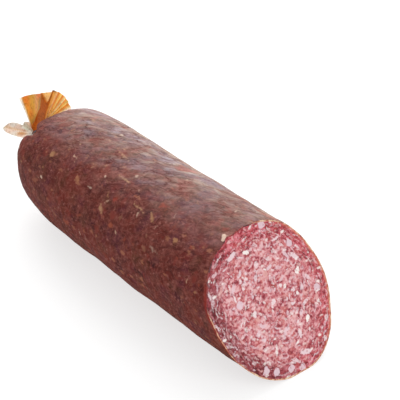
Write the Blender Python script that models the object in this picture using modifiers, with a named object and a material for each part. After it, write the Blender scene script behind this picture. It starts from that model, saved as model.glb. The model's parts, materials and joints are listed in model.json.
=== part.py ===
"""Cured sausage: a salami cut at a slant, with the tied and gathered casing at its far end.

Lengths are in metres, +Z is up. The sausage lies along X with its cut face towards +X and rests on a
narrow flat strip along its underside. Everything is worked out in an axis frame whose origin is the
middle of the cut face, and moved at the end so that the whole stands on z = 0, centred on X and Y.
"""
import math

import bmesh
import bpy
import numpy as np
from mathutils import Vector

# ---- driving dimensions ------------------------------------------------------------------------
RADIUS = 0.0325                 # calibre 65 mm
CUT_LEAN = math.radians(33.3)   # the cut plane leans back this far from square
NECK_REACH = 0.1895             # middle of the cut to the back of the clip, along the axis
FLAT_HEIGHT = 0.0306            # height of the axis over the flat strip it rests on
UNDERSIDE = 0.95                # half height of the section, of its radius
TAPER = 0.030                   # the far end is this much thinner
BOW = -0.002                    # sideways bow of the middle
NECK_UP = 0.0045                # the tie sits above the axis
NECK_SIDE = -0.0035             # and to one side of it

# section: waves round the sausage, with their cosine and sine shares of the radius
SECTION_WAVES = ((2, 0.040, 0.0), (3, -0.015, 0.008), (4, -0.010, 0.0))

# outline of the closed end: distance in front of the clip's back, radius
NECK_RADIUS = 0.0015
NECK_END = -0.0016
NECK_CHAMFER = 0.7
END_PROFILE = (
    (NECK_END, NECK_RADIUS), (0.0022, NECK_RADIUS), (0.005, 0.007), (0.009, 0.0145), (0.021, 0.027),
    (0.030, 0.030), (0.058, RADIUS),
)
PLEAT_COUNT = 12                # gathers of the casing round the tie
PLEAT_DEPTH = 0.07              # of the local radius
PLEAT_REACH = 0.013             # how far the gathers run down the end
PLEAT_START = 0.004             # radius at which they are fully formed

CLIP_WIRE = 0.00055             # radius of the clip's wire
CLIP_GAP = 0.00030              # between the neck and the clip
CLIP_FORWARD = 0.0009           # middle of the clip in front of its back

SHEET = 0.0006                  # thickness of the loose casing
SHEET_ROOT = 0.0024             # where it starts, from the axis of the neck
SHEET_LEAN = math.radians(5)    # it leans back from square
SHEET_BEHIND = 0.0009           # behind the clip's back, to the middle of the sheet

# loose casing: direction round the neck in degrees from +Y, reach from the axis of the neck
FAN_EDGE = ((-3, 0.024), (36, 0.0255), (54, 0.025), (75, 0.0225), (106, 0.024))
FAN_PLEATS = 5.5
FAN_CROWDING = 1.4              # the pleats crowd together towards one side
FAN_WAVE = 0.0011               # depth of the pleats at the edge
FLAP_EDGE = (
    (118, 0.008), (134, 0.0105), (145, 0.018), (155, 0.0205), (165, 0.015), (180, 0.0105), (200, 0.0065),
)
FLAP_CURL = 0.0022              # its tip curls back this far
FLAP_RIPPLE = 0.0005
FLAP_RIPPLES = 1.5

# ---- fineness of the faceted solids ------------------------------------------------------------
SEGMENTS = 72                   # round the sausage
BODY_RINGS = 15                 # along its straight part
END_RINGS = (
    0.050, 0.042, 0.035, 0.029, 0.024, 0.0198, 0.0162, 0.0132, 0.0107, 0.0086, 0.0068, 0.0053,
    0.0040, 0.0030, 0.0022, 0.0012, -0.0003, -0.0012,
)
SHEET_ROWS = 8                  # from root to edge
FAN_COLUMNS = 56
FLAP_COLUMNS = 26
CLIP_SEGMENTS = (32, 12)        # round the neck, round the wire

# ---- finish ------------------------------------------------------------------------------------
RIND = ((0.16, 0.035, 0.03), 0.5)
ORANGE_CASING = ((0.75, 0.28, 0.06), 0.4)
PALE_CASING = ((0.78, 0.64, 0.50), 0.4)
CLIP_METAL = ((0.75, 0.75, 0.76), 0.3)


def smooth_curve(points, at):
    """Monotone cubic through (x, y) points, so that an outline never overshoots its named sizes."""
    xs = np.array([point[0] for point in points], float)
    ys = np.array([point[1] for point in points], float)
    step = np.diff(xs)
    slope = np.diff(ys) / step
    tangent = np.zeros(len(xs))
    for i in range(1, len(xs) - 1):
        if slope[i - 1] * slope[i] > 0:
            w1 = 2 * step[i] + step[i - 1]
            w2 = step[i] + 2 * step[i - 1]
            tangent[i] = (w1 + w2) / (w1 / slope[i - 1] + w2 / slope[i])
    tangent[0] = slope[0]
    i = int(np.clip(np.searchsorted(xs, at) - 1, 0, len(step) - 1))
    t = min(max((at - xs[i]) / step[i], 0.0), 1.0)
    return float(
        ys[i] * (1 + 2 * t) * (1 - t) ** 2 + step[i] * tangent[i] * t * (1 - t) ** 2
        + ys[i + 1] * t * t * (3 - 2 * t) + step[i] * tangent[i + 1] * t * t * (t - 1)
    )


def unit_section(angle):
    """Point of the section of radius 1 at an angle: wider than tall, and not quite even."""
    factor = 1.0
    for wave, cosine, sine in SECTION_WAVES:
        factor += cosine * math.cos(wave * angle) + sine * math.sin(wave * angle)
    return factor * math.cos(angle), factor * math.sin(angle)


def share(value):
    return min(max(value, 0.0), 1.0)


def centre_line(x, radius):
    """Middle of the section at x. The underside stays level as the sausage gets thinner."""
    along = share(-x / NECK_REACH)
    closed = share(1.0 - radius / RADIUS)
    side = BOW * 4 * along * (1 - along) + NECK_SIDE * closed ** 2
    up = -UNDERSIDE * TAPER * RADIUS * along + NECK_UP * closed ** 2
    return side, up


def skin_point(x, angle, radius):
    """Point of the outside at x, flattened where it rests and pleated round the tie."""
    side, up = centre_line(x, radius)
    y, z = unit_section(angle)
    gather = share(1 - (x + NECK_REACH) / PLEAT_REACH) * share(radius / PLEAT_START)
    pleat = 1 - PLEAT_DEPTH * gather * (0.5 - 0.5 * math.cos(PLEAT_COUNT * angle))
    size = radius * (1 - TAPER * share(-x / NECK_REACH)) * pleat
    return Vector((x, side + y * size, max(up + z * size, -FLAT_HEIGHT)))


def neck_point():
    """Middle of the neck at the clip's back."""
    return Vector((-NECK_REACH, *centre_line(-NECK_REACH, NECK_RADIUS)))


def new_object(name, mesh, collection, finish, metallic=0.0):
    """Smooth-shaded object in its collection, with a material of its own."""
    colour, roughness = finish
    for polygon in mesh.polygons:
        polygon.use_smooth = len(polygon.vertices) <= 4
    material = bpy.data.materials.new(name + "_material")
    material.use_nodes = True
    shader = material.node_tree.nodes["Principled BSDF"]
    shader.inputs["Base Color"].default_value = (*colour, 1.0)
    shader.inputs["Roughness"].default_value = roughness
    shader.inputs["Metallic"].default_value = metallic
    mesh.materials.append(material)
    thing = bpy.data.objects.new(name, mesh)
    collection.objects.link(thing)
    return thing


def sausage_rings():
    """Rings from the slanted cut, turning square along the straight part, then round the end."""
    angles = [2 * math.pi * i / SEGMENTS for i in range(SEGMENTS)]
    straight_end = END_PROFILE[-1][0] - NECK_REACH
    lean = math.tan(CUT_LEAN)
    rings = []
    for k in range(BODY_RINGS):
        t = k / (BODY_RINGS - 1)
        ring = []
        for angle in angles:
            cut_x = -skin_point(0.0, angle, RADIUS).z * lean
            ring.append(skin_point(cut_x * (1 - t) + straight_end * t, angle, RADIUS))
        rings.append(ring)
    for point in rings[0]:
        point.x = -point.z * lean
    for ahead in END_RINGS:
        radius = smooth_curve(END_PROFILE, ahead)
        rings.append([skin_point(ahead - NECK_REACH, angle, radius) for angle in angles])
    tip = NECK_RADIUS * NECK_CHAMFER
    rings.append([skin_point(NECK_END - NECK_REACH, angle, tip) for angle in angles])
    return rings


def sausage(collection):
    """One closed body lofted through its rings: the slanted cut face, the length and the neck."""
    bm = bmesh.new()
    loops = [[bm.verts.new(point) for point in ring] for ring in sausage_rings()]
    for near, far in zip(loops, loops[1:]):
        for i in range(SEGMENTS):
            j = (i + 1) % SEGMENTS
            bm.faces.new((near[i], near[j], far[j], far[i]))
    bm.faces.new(loops[0])
    bm.faces.new(loops[-1])
    bmesh.ops.recalc_face_normals(bm, faces=bm.faces)
    mesh = bpy.data.meshes.new("sausage")
    bm.to_mesh(mesh)
    bm.free()
    return new_object("sausage", mesh, collection, RIND)


def loose_sheet(name, edge, wave, columns, collection, finish):
    """Casing spread out behind the clip, from a root beside the neck to a named edge."""
    neck = neck_point()
    first = edge[0][0]
    last = edge[-1][0]
    bm = bmesh.new()
    lines = []
    for i in range(columns):
        u = i / (columns - 1)
        degrees = first + (last - first) * u
        reach = smooth_curve(edge, degrees)
        angle = math.radians(degrees)
        line = []
        for k in range(SHEET_ROWS):
            v = k / (SHEET_ROWS - 1)
            out = SHEET_ROOT + (reach - SHEET_ROOT) * v
            back = SHEET_BEHIND + (out - SHEET_ROOT) * math.tan(SHEET_LEAN) + wave(u, v)
            place = Vector((-back, out * math.cos(angle), out * math.sin(angle)))
            line.append(bm.verts.new(neck + place))
        lines.append(line)
    for a, b in zip(lines, lines[1:]):
        for k in range(SHEET_ROWS - 1):
            bm.faces.new((a[k], a[k + 1], b[k + 1], b[k]))
    mesh = bpy.data.meshes.new(name)
    bm.to_mesh(mesh)
    bm.free()
    thing = new_object(name, mesh, collection, finish)
    solid = thing.modifiers.new("thickness", "SOLIDIFY")
    solid.thickness = SHEET
    solid.offset = 0.0
    return thing


def fan_wave(u, v):
    """Pleats, broad at one side of the fan and close together at the other."""
    turns = FAN_PLEATS * (1 - u) ** FAN_CROWDING
    return FAN_WAVE * v * (0.5 - 0.5 * math.cos(2 * math.pi * turns))


def flap_wave(u, v):
    return FLAP_CURL * v * v + FLAP_RIPPLE * v * math.sin(2 * math.pi * FLAP_RIPPLES * u)


def clip(collection):
    """Wire ring closed round the neck."""
    round_neck, round_wire = CLIP_SEGMENTS
    bpy.ops.mesh.primitive_torus_add(
        major_radius=NECK_RADIUS + CLIP_GAP + CLIP_WIRE, minor_radius=CLIP_WIRE,
        major_segments=round_neck, minor_segments=round_wire,
    )
    made = bpy.context.object
    mesh = made.data.copy()
    bpy.data.objects.remove(made)
    mesh.materials.clear()
    thing = new_object("clip", mesh, collection, CLIP_METAL, 1.0)
    thing.rotation_euler = (0, math.pi / 2, 0)
    thing.location = neck_point() + Vector((CLIP_FORWARD, 0, 0))
    return thing


def stand_on_origin(things):
    """Move all the pieces so that their common box is centred on X and Y and stands on z = 0."""
    bpy.context.view_layer.update()
    graph = bpy.context.evaluated_depsgraph_get()
    points = []
    for thing in things:
        mesh = thing.evaluated_get(graph).to_mesh()
        points += [thing.matrix_world @ vertex.co for vertex in mesh.vertices]
    low = Vector([min(point[i] for point in points) for i in range(3)])
    high = Vector([max(point[i] for point in points) for i in range(3)])
    for thing in things:
        thing.location -= Vector(((low.x + high.x) / 2, (low.y + high.y) / 2, low.z))


def build():
    for thing in list(bpy.data.objects):
        bpy.data.objects.remove(thing)
    collection = bpy.data.collections.new("cured_sausage")
    bpy.context.scene.collection.children.link(collection)
    stand_on_origin([
        sausage(collection),
        loose_sheet("casing_tail", FAN_EDGE, fan_wave, FAN_COLUMNS, collection, ORANGE_CASING),
        loose_sheet("casing_flap", FLAP_EDGE, flap_wave, FLAP_COLUMNS, collection, PALE_CASING),
        clip(collection),
    ])


build()
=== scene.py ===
"""Looks of the cured sausage: rind, cut face, fanned casing and clip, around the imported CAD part.

Lengths are in metres. The shapes are worked out in the CAD part's axis frame, whose origin is the
middle of the cut face with +X along the sausage, and are then placed by the CAD node's own box.
"""
import json
import math

import bpy
import numpy as np
from mathutils import Matrix, Vector

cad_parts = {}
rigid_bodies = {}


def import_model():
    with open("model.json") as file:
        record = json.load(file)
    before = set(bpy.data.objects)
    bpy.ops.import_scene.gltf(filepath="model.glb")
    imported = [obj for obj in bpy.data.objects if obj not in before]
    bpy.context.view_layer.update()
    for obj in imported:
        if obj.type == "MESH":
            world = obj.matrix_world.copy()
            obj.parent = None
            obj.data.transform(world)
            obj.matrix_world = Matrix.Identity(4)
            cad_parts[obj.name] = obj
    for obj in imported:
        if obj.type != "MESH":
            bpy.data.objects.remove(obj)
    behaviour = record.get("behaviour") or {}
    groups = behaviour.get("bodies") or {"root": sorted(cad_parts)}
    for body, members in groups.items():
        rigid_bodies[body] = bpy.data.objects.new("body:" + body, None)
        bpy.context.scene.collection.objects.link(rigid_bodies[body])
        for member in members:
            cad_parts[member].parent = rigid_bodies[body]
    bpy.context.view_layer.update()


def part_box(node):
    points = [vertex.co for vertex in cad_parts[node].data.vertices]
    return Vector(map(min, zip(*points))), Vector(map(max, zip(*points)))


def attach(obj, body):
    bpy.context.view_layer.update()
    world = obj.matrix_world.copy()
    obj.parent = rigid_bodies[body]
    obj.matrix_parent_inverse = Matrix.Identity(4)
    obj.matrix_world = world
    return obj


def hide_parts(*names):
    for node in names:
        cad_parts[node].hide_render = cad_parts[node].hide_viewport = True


MM = 0.001

# ---- the CAD part's driving dimensions ---------------------------------------------------------
RADIUS = 32.5 * MM
CUT_LEAN = math.radians(33.3)
NECK_REACH = 189.5 * MM
FLAT_HEIGHT = 30.6 * MM
UNDERSIDE = 0.95
TAPER = 0.030
BOW = -2.0 * MM
NECK_UP = 4.5 * MM
NECK_SIDE = -3.5 * MM
SECTION_WAVES = ((2, 0.040, 0.0), (3, -0.015, 0.008), (4, -0.010, 0.0))
NECK_RADIUS = 1.5 * MM
END_PROFILE = (
    (-0.0016, NECK_RADIUS), (0.0022, NECK_RADIUS), (0.005, 0.007), (0.009, 0.0145), (0.021, 0.027),
    (0.030, 0.030), (0.058, RADIUS),
)

# ---- camera, worked out from the photograph's perspective --------------------------------------
AZIMUTH = math.radians(50.6)
ELEVATION = math.radians(33.4)
LENS = 117.0                    # mm on a 36 mm sensor
DISTANCE = 594.0 * MM           # to the middle of the cut, along the view
CUT_RIGHT = 32.8 * MM           # the middle of the cut is this far right of the view's axis
CUT_BELOW = 45.8 * MM           # and this far below it


# ---- numbers over arrays -----------------------------------------------------------------------
def smooth_curve(points, at):
    """Monotone cubic through (x, y) points, read at an array of places."""
    xs = np.array([point[0] for point in points], float)
    ys = np.array([point[1] for point in points], float)
    step = np.diff(xs)
    slope = np.diff(ys) / step
    tangent = np.zeros(len(xs))
    for i in range(1, len(xs) - 1):
        if slope[i - 1] * slope[i] > 0:
            w1 = 2 * step[i] + step[i - 1]
            w2 = step[i] + 2 * step[i - 1]
            tangent[i] = (w1 + w2) / (w1 / slope[i - 1] + w2 / slope[i])
    tangent[0] = slope[0]
    at = np.asarray(at, float)
    i = np.clip(np.searchsorted(xs, at) - 1, 0, len(step) - 1)
    t = np.clip((at - xs[i]) / step[i], 0.0, 1.0)
    return (
        ys[i] * (1 + 2 * t) * (1 - t) ** 2 + step[i] * tangent[i] * t * (1 - t) ** 2
        + ys[i + 1] * t * t * (3 - 2 * t) + step[i] * tangent[i + 1] * t * t * (t - 1)
    )


def share(value):
    return np.clip(value, 0.0, 1.0)


def ease(low, high, value):
    """0 below low, 1 above high, and smooth between."""
    t = share((value - low) / (high - low))
    return t * t * (3 - 2 * t)


def lattice(cell, seed):
    """Steady random number from 0 to 1 for each integer cell."""
    n = (
        cell[:, 0].astype(np.uint32) * np.uint32(73856093)
        ^ cell[:, 1].astype(np.uint32) * np.uint32(19349663)
        ^ cell[:, 2].astype(np.uint32) * np.uint32(83492791)
        ^ np.uint32(seed * 2654435761 % 2 ** 32)
    )
    n ^= n >> np.uint32(13)
    n *= np.uint32(1540483477)
    n ^= n >> np.uint32(15)
    n *= np.uint32(2246822519)
    n ^= n >> np.uint32(13)
    return n.astype(float) / 2 ** 32


def noise(points, size, seed):
    """Smooth random field from -1 to 1, whose lumps are about size across."""
    q = points / size
    base = np.floor(q)
    t = q - base
    t = t * t * t * (t * (6 * t - 15) + 10)
    base = base.astype(np.int64)
    total = np.zeros(len(q))
    for dx in (0, 1):
        for dy in (0, 1):
            for dz in (0, 1):
                weight = (
                    (t[:, 0] if dx else 1 - t[:, 0])
                    * (t[:, 1] if dy else 1 - t[:, 1])
                    * (t[:, 2] if dz else 1 - t[:, 2])
                )
                total += weight * lattice(base + np.array((dx, dy, dz)), seed)
    return 2 * total - 1


def rough_noise(points, size, seed, octaves=3):
    total = np.zeros(len(points))
    for k in range(octaves):
        total += noise(points, size / 2 ** k, seed + k) / 2 ** k
    return total / (2 - 2 / 2 ** octaves)


# ---- the sausage's surface ---------------------------------------------------------------------
def unit_section(angle):
    factor = np.ones_like(angle)
    for wave, cosine, sine in SECTION_WAVES:
        factor = factor + cosine * np.cos(wave * angle) + sine * np.sin(wave * angle)
    return factor * np.cos(angle), factor * np.sin(angle)


def centre_line(x, radius):
    """Middle of the section at x: sideways and up."""
    along = share(-x / NECK_REACH)
    closed = share(1 - radius / RADIUS)
    side = BOW * 4 * along * (1 - along) + NECK_SIDE * closed ** 2
    up = -UNDERSIDE * TAPER * RADIUS * along + NECK_UP * closed ** 2
    return side, up


def skin_point(x, angle, radius):
    """Smooth skin at arrays of x, angle and radius, before any relief."""
    side, up = centre_line(x, radius)
    y, z = unit_section(angle)
    size = radius * (1 - TAPER * share(-x / NECK_REACH))
    return np.stack([x, side + y * size, up + z * size], -1)


CUT_NORMAL = np.array((math.cos(CUT_LEAN), 0.0, math.sin(CUT_LEAN)))
CUT_UP = np.array((-math.sin(CUT_LEAN), 0.0, math.cos(CUT_LEAN)))
CUT_SIDE = np.array((0.0, 1.0, 0.0))


def new_mesh(name, points, faces):
    mesh = bpy.data.meshes.new(name)
    mesh.from_pydata(points, [], faces)
    mesh.validate()
    mesh.polygons.foreach_set("use_smooth", np.ones(len(mesh.polygons), bool))
    thing = bpy.data.objects.new(name, mesh)
    bpy.context.scene.collection.objects.link(thing)
    return thing


def add_number(thing, name, values):
    """A number at each vertex, for the material to read."""
    made = thing.data.attributes.new(name, "FLOAT", "POINT")
    made.data.foreach_set("value", np.asarray(values, np.float32))


# ---- scattered grains --------------------------------------------------------------------------
class Grains:
    """Flat irregular patches lying on a surface, each with its own size, turn, corners and tone."""

    def __init__(self):
        self.rows = []

    def add(self, middle, first, second, half_length, half_width, power, tone, strength):
        """first and second are unit vectors on the surface: along the grain, and across it."""
        self.rows.append((middle, first, second, half_length, half_width, power, tone, strength))

    def read(self, points, margin=0.6):
        """For each point: depth in its deepest grain in mm, that grain's tone and strength,
        how far the next grain's depth is behind, and the place across the grain from -1 to 1."""
        best = np.full(len(points), -9.0)
        behind = np.full(len(points), -9.0)
        tone = np.zeros(len(points))
        strength = np.zeros(len(points))
        side = np.zeros(len(points))
        order = np.argsort(points[:, 0], kind="stable")
        sorted_x = points[order, 0]
        for middle, first, second, half_length, half_width, power, own_tone, own_strength in self.rows:
            span = half_length + margin
            low, high = np.searchsorted(sorted_x, (middle[0] - span, middle[0] + span))
            near = order[low:high]
            offset = points[near] - middle
            keep = (np.abs(offset[:, 1:]) < span).all(1)
            near = near[keep]
            offset = offset[keep]
            along = np.abs(offset @ first) / half_length
            across = offset @ second / half_width
            depth = half_width * (1 - (along ** power + np.abs(across) ** power) ** (1 / power))
            better = depth > best[near]
            behind[near] = np.where(better, best[near], np.maximum(behind[near], depth))
            tone[near] = np.where(better, own_tone, tone[near])
            strength[near] = np.where(better, own_strength, strength[near])
            side[near] = np.where(better, np.clip(across, -1, 1), side[near])
            best[near] = np.where(better, depth, best[near])
        return best, tone, strength, best - behind, side


def spread(rng, count, candidates, radii, taken, taken_radii, spacing):
    """Pick places out of the candidates, in order, that keep apart from each other and from those taken."""
    chosen = []
    places = np.array(taken, float).reshape(-1, candidates.shape[1])
    sizes = np.array(taken_radii, float)
    for candidate, radius in zip(candidates, radii):
        if len(chosen) == count:
            break
        gap = np.linalg.norm(places - candidate, axis=1)
        if len(sizes) and np.any(gap < spacing * (sizes + radius)):
            continue
        places = np.vstack([places, candidate])
        sizes = np.append(sizes, radius)
        chosen.append((candidate, radius))
    return chosen, places, sizes


# ---- the cut face ------------------------------------------------------------------------------
CUT_GRID = 300
CASING = 0.50 * MM
EDGE_RISE = 0.12 * MM
MEAT_DEPTH = 1.3 * MM
MEAT_GAP = 0.32 * MM
RECESS = 1.6 * MM

# Shapes of the large grains of fat: half length, half width (mm), tone.
ROUND_FAT = (2.0, 1.7, 0.45)
DRAWN_FAT = (3.4, 1.2, 0.60)
PALE_FAT = (1.9, 1.1, 1.00)
# Large grains: direction in the cut (degrees from its right), share of the way out, shape, turn (degrees).
LARGE_FAT = (
    (75, 0.95, ROUND_FAT, 0), (45, 0.80, ROUND_FAT, 60), (35, 0.70, DRAWN_FAT, -45),
    (-10, 0.80, ROUND_FAT, 70), (-120, 0.90, ROUND_FAT, 30), (-110, 0.90, ROUND_FAT, 60),
    (-95, 0.90, ROUND_FAT, 0), (-85, 0.95, ROUND_FAT, 10), (-75, 0.80, DRAWN_FAT, -10),
    (115, 0.80, DRAWN_FAT, 15), (100, 0.70, PALE_FAT, 0), (165, 0.50, ROUND_FAT, 60),
    (20, 0.60, PALE_FAT, 65), (-45, 0.60, PALE_FAT, 65),
)


def cut_outline(angle):
    """Where the skin meets the cut, in the cut plane: sideways and up, in metres."""
    x = np.zeros_like(angle)
    for _ in range(12):
        point = skin_point(x, angle, np.full_like(angle, RADIUS))
        z = np.maximum(point[:, 2], -FLAT_HEIGHT)
        x = -z * math.tan(CUT_LEAN)
    return point[:, 1], z / math.cos(CUT_LEAN)


class Outline:
    """Distance from the middle of the cut to the skin's edge, in any direction in the cut plane."""

    def __init__(self, edge):
        side = edge @ CUT_SIDE
        up = edge @ CUT_UP
        direction = np.arctan2(up, side)
        order = np.argsort(direction)
        self.direction = direction[order]
        self.reach = np.hypot(side, up)[order]

    def at(self, direction):
        return np.interp(direction, self.direction, self.reach, period=2 * math.pi)


def fill_with_fat(rng, outline):
    """Fat grains over the cut, in mm in its plane: a few large ones, round ones, strokes and crumbs."""
    grains = Grains()
    places = []
    sizes = []

    def put(spot, half_length, half_width, turn, power, tone, strength):
        first = np.array((math.cos(turn), math.sin(turn), 0.0))
        second = np.array((-math.sin(turn), math.cos(turn), 0.0))
        grains.add(np.array((spot[0], spot[1], 0.0)), first, second, half_length, half_width, power, tone, strength)

    for degrees, way_out, (half_length, half_width, tone), turn in LARGE_FAT:
        direction = math.radians(degrees)
        out = way_out * float(outline.at(np.array(direction))) / MM
        spot = (out * math.cos(direction), out * math.sin(direction))
        put(spot, half_length, half_width, math.radians(turn), 2.4, tone, 1.0)
        places.append(spot)
        sizes.append(math.sqrt(half_length * half_width))
    kinds = ((150, 0.8, 1.4, 1.05, 2.4), (540, 0.5, 0.95, 0.92, 2.0), (420, 0.32, 0.5, 0.9, 1.7))
    for count, small, large, spacing, power in kinds:
        tries = count * 6
        direction = rng.uniform(-math.pi, math.pi, tries)
        out = np.sqrt(rng.uniform(0, 1, tries)) * (outline.at(direction) / MM - 0.5 - small)
        radii = rng.uniform(small, large, tries)
        candidates = np.column_stack([out * np.cos(direction), out * np.sin(direction)])
        chosen, places, sizes = spread(rng, count, candidates, radii, places, sizes, spacing)
        for spot, radius in chosen:
            reach = float(outline.at(np.array(math.atan2(spot[1], spot[0])))) / MM
            outer = float(ease(0.45, 0.85, math.hypot(*spot) / reach))
            around = math.atan2(spot[1], spot[0]) + math.pi / 2
            drawn = rng.uniform() < 0.25 + 0.75 * outer
            turn = around + rng.normal(0, 0.3) if drawn else rng.normal(0.2, 0.7)
            longer = 1 + rng.gamma(1.8, 0.34) * (0.8 + 1.5 * outer)
            tone = rng.beta(1.6, 1.8)
            strength = min(rng.uniform(0.25, 0.95) * (1.10 - 0.28 * outer), 1.0)
            strength += 0.30 * (1 - strength) * float(ease(0.7, 1.1, radius))
            put(spot, radius * longer, radius / longer ** 0.5, turn, rng.uniform(1.1, 1.3) * power / 1.2, tone, strength)
    return grains


def make_meat(offset, outline):
    """The minced meat that shows at the cut: a dense face with relief, closed behind."""
    n = CUT_GRID
    side = np.linspace(-1, 1, n)
    a, b = np.meshgrid(side, side, indexing="ij")
    u = (a * np.sqrt(1 - b * b / 2)).ravel()
    v = (b * np.sqrt(1 - a * a / 2)).ravel()
    rho = np.hypot(u, v)
    direction = np.arctan2(v, u)
    edge = outline.at(direction) - MEAT_GAP
    flat = np.column_stack([rho * edge * np.cos(direction), rho * edge * np.sin(direction), np.zeros(n * n)])
    from_edge = (1 - rho) * edge / MM
    plane = flat / MM

    rng = np.random.default_rng(11)
    grains = fill_with_fat(rng, outline)
    warp = np.column_stack([
        0.40 * noise(plane, 1.7, 21) + 0.20 * noise(plane, 0.7, 22),
        0.40 * noise(plane, 1.7, 23) + 0.20 * noise(plane, 0.7, 24),
        np.zeros(len(plane)),
    ])
    depth, tone, strength, apart, _ = grains.read(plane + warp)
    fat = ease(-0.30, 0.42, np.minimum(depth, apart * 0.9 + 0.05)) * strength
    smear = ease(-0.35, 0.45, rough_noise(plane, 4.2, 25))

    # the mince is drawn out round the edge, and less so one way across the middle
    wavy = 0.6 * noise(plane, 3.0, 26)
    ringed = np.column_stack([30 * np.cos(direction), 30 * np.sin(direction), 3.0 * (from_edge + wavy)])
    slant = math.radians(14)
    ahead = plane[:, 0] * math.cos(slant) + plane[:, 1] * math.sin(slant)
    across = plane[:, 1] * math.cos(slant) - plane[:, 0] * math.sin(slant)
    level = np.column_stack([0.55 * ahead, across + wavy, np.zeros(len(plane))])
    near_edge = ease(11.0, 4.0, from_edge)
    streak = near_edge * rough_noise(ringed, 2.6, 27, 2) + (1 - near_edge) * rough_noise(level, 1.35, 29, 2)

    relief = 0.05 * fat + 0.05 * noise(plane, 1.2, 31) + 0.03 * noise(plane, 0.55, 32)
    relief += 0.12 * noise(plane, 6.0, 33) + 0.12 * noise(plane, 15.0, 34)
    pits = ease(0.62, 0.85, noise(plane, 1.1, 35)) * (1 - fat)
    relief -= 0.16 * pits
    relief *= ease(0.0, 0.6, from_edge)
    relief -= 0.08 * (1 - ease(0.0, 1.0, from_edge))

    front = flat[:, :1] * CUT_SIDE + flat[:, 1:2] * CUT_UP + (relief * MM)[:, None] * CUT_NORMAL
    index = np.arange(n * n).reshape(n, n)
    faces = np.stack([index[:-1, :-1], index[1:, :-1], index[1:, 1:], index[:-1, 1:]], -1).reshape(-1, 4)
    ring = np.concatenate([index[0, :-1], index[:-1, -1], index[-1, :0:-1], index[:0:-1, 0]])
    middle = front.mean(0)
    behind = np.array((-MEAT_DEPTH, 0.0, 0.0))
    wall = (front[ring] - middle) * 0.965 + middle + behind
    loop = np.arange(len(front), len(front) + len(ring))
    after = np.roll(loop, -1)
    hub = len(front) + len(ring)
    sides = np.stack([ring, np.roll(ring, -1), after, loop], -1)
    back = np.stack([loop, after, np.full(len(loop), hub)], -1)
    points = np.vstack([front, wall, middle + behind])
    thing = new_mesh("sausage_meat", points + offset,
                     [*map(tuple, faces), *map(tuple, sides), *map(tuple, back)])

    def whole(values, fill):
        return np.concatenate([values, np.full(len(points) - len(front), fill)])

    add_number(thing, "fat", whole(fat, 0.0))
    add_number(thing, "tone", whole(tone, 0.0))
    add_number(thing, "smear", whole(smear, 0.0))
    add_number(thing, "streak", whole(streak, 0.0))
    add_number(thing, "pit", whole(pits, 0.0))
    add_number(thing, "from_edge", whole(from_edge, 0.0))
    right_side = ease(-75, -40, np.degrees(direction)) * ease(75, 40, np.degrees(direction))
    add_number(thing, "right_side", whole(right_side, 0.0))
    left_side = ease(0.0, 0.8, np.cos(direction - math.radians(195)))
    add_number(thing, "left_side", whole(left_side, 0.0))
    return thing


# ---- the rind ----------------------------------------------------------------------------------
COLUMNS_DENSE = 262
STREAK_TURN = math.radians(29.5)    # the wrinkles' direction on top, from the sausage's axis
STREAK = np.array((math.cos(STREAK_TURN), math.sin(STREAK_TURN), 0.0))
COLUMNS_UNDER = 24
UNDER_HALF = math.radians(35)
STRAIGHT_ROWS = 212
END_SPACING = 0.76 * MM

# Shapes of the large specks of fat under the casing: half length, half width (mm).
BLOT = (2.0, 1.6)
DASH = (2.8, 1.1)
THREAD = (5.0, 0.6)
# Large specks: place along the sausage (mm), angle (degrees), shape, turn from the sausage's axis
# (degrees), tone from brick red 0 through ochre 0.6 to pale 1.
LARGE_SPECKS = (
    (-140, 135, BLOT, 60, 0.75), (-115, 140, BLOT, 20, 0.60), (-90, 150, DASH, 40, 0.80),
    (-85, 135, BLOT, 0, 0.0), (-80, 155, BLOT, 30, 0.30), (-60, 115, BLOT, 0, 0.05),
    (-40, 135, BLOT, 0, 0.70), (-20, 110, BLOT, 20, 1.0), (-60, 130, DASH, 30, 0.75),
    (-105, 95, THREAD, 5, 0.80), (-90, 115, THREAD, 5, 0.80), (-70, 130, THREAD, 10, 0.80),
)


# Swellings and hollows that show in the outline: x (mm), angle (degrees), height, half length,
# half width (mm). The deep one is where the casing is drawn in toward the clip.
LUMPS = (
    (-170, 150, 1.5, 10, 7), (-174, 130, -4.5, 9, 2.5), (-173, 115, 0.5, 4, 3), (-150, 60, 0.5, 20, 9),
    (-20, 110, 0.8, 3, 2), (-4, 165, 1.0, 6, 5), (6, 195, -0.6, 8, 8), (14, 215, -0.8, 8, 8),
)


def lumps(points, along, normal):
    """Height in mm of the named swellings over the skin."""
    total = np.zeros(len(points))
    for x, degrees, height, half_length, half_width in LUMPS:
        angle = math.radians(degrees)
        ahead = np.array([max(x * MM + NECK_REACH, END_PROFILE[0][0])])
        radius = smooth_curve(END_PROFILE, np.minimum(ahead, END_PROFILE[-1][0]))
        target = skin_point(np.array([x * MM]), np.array([angle]), radius)[0] / MM
        k = int(np.argmin(((points - target) ** 2).sum(1)))
        offset = points - points[k]
        first = offset @ along[k] / half_length
        second = offset @ np.cross(normal[k], along[k]) / half_width
        third = offset @ normal[k] / max(half_length, half_width)
        total += height * np.exp(-(first ** 2 + second ** 2 + third ** 2))
    return total


def skin_columns():
    """Angles round the skin from the bottom: close together where it shows, wider underneath."""
    bottom = -math.pi / 2
    half = COLUMNS_UNDER // 2
    first = np.linspace(bottom, bottom + UNDER_HALF, half + 1)[:-1]
    dense = np.linspace(bottom + UNDER_HALF, bottom + 2 * math.pi - UNDER_HALF, COLUMNS_DENSE + 1)[:-1]
    last = np.linspace(bottom + 2 * math.pi - UNDER_HALF, bottom + 2 * math.pi, half + 1)[:-1]
    return np.concatenate([first, dense, last])


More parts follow.
